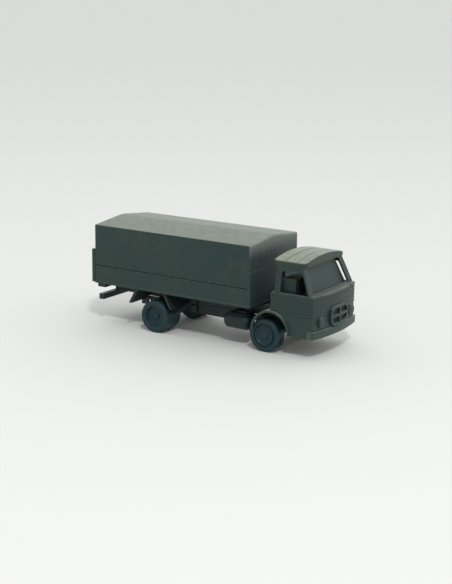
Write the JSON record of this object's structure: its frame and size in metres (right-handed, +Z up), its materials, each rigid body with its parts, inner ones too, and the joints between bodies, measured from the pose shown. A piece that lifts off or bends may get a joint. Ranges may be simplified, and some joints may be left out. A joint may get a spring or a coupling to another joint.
{
  "type": "small-scale model of a covered military cargo truck",
  "caption": "Small plastic model of a forward-control military lorry with drop-side body, moulded cargo cover and wheels that turn on steel axles.",
  "frame": {"origin": "on the ground, under the centre of the model's bounding box", "axes": "+X towards the front bumper, +Y towards the model's left side, +Z up"},
  "size_m": [0.082, 0.0284, 0.0332],
  "materials": {
    "body_plastic": "matt olive moulded plastic",
    "chassis_plastic": "matt dark olive moulded plastic",
    "wheel_plastic": "dark blue-grey moulded plastic, slight sheen",
    "mesh_plastic": "dark moulded mesh",
    "axle_steel": "drawn wire"
  },
  "bodies": {
    "truck": {"left_frame_rail": "chassis_plastic", "right_frame_rail": "chassis_plastic", "frame_cross_members": "chassis_plastic", "front_axle_carrier": "chassis_plastic", "rear_axle_carrier": "chassis_plastic", "transfer_block": "chassis_plastic", "floor_sills": "chassis_plastic", "cargo_floor": "body_plastic", "left_side_board": "body_plastic", "right_side_board": "body_plastic", "headboard": "body_plastic", "tailboard": "body_plastic", "tilt_cover": "body_plastic", "rear_beam": "chassis_plastic", "left_rear_mudguards": "chassis_plastic", "right_rear_mudguards": "chassis_plastic", "cab_shell": "body_plastic", "cab_roof": "body_plastic", "cab_rear_wall": "body_plastic", "cab_floor": "chassis_plastic", "cab_mount": "chassis_plastic", "cab_seat_block": "chassis_plastic", "windscreen_panel": "chassis_plastic", "left_front_mudguard": "body_plastic", "right_front_mudguard": "body_plastic", "front_bumper": "body_plastic", "grille_frame": "body_plastic", "grille_mesh": "mesh_plastic", "left_headlamp": "body_plastic", "right_headlamp": "body_plastic", "fuel_tank": "body_plastic", "battery_box": "chassis_plastic"},
    "front_wheelset": {"front_axle": "axle_steel", "front_left_wheel": "wheel_plastic", "front_right_wheel": "wheel_plastic"},
    "rear_wheelset": {"rear_axle": "axle_steel", "rear_left_twin_wheel": "wheel_plastic", "rear_right_twin_wheel": "wheel_plastic"}
  },
  "joints": [
    {"name": "front_wheels_roll", "type": "hinge", "parent": "truck", "child": "front_wheelset", "pos_m": [0.0223, 0, 0.00505], "axis": [0, 1, 0], "continuous": true},
    {"name": "rear_wheels_roll", "type": "hinge", "parent": "truck", "child": "rear_wheelset", "pos_m": [-0.0167, 0, 0.00505], "axis": [0, 1, 0], "continuous": true}
  ]
}
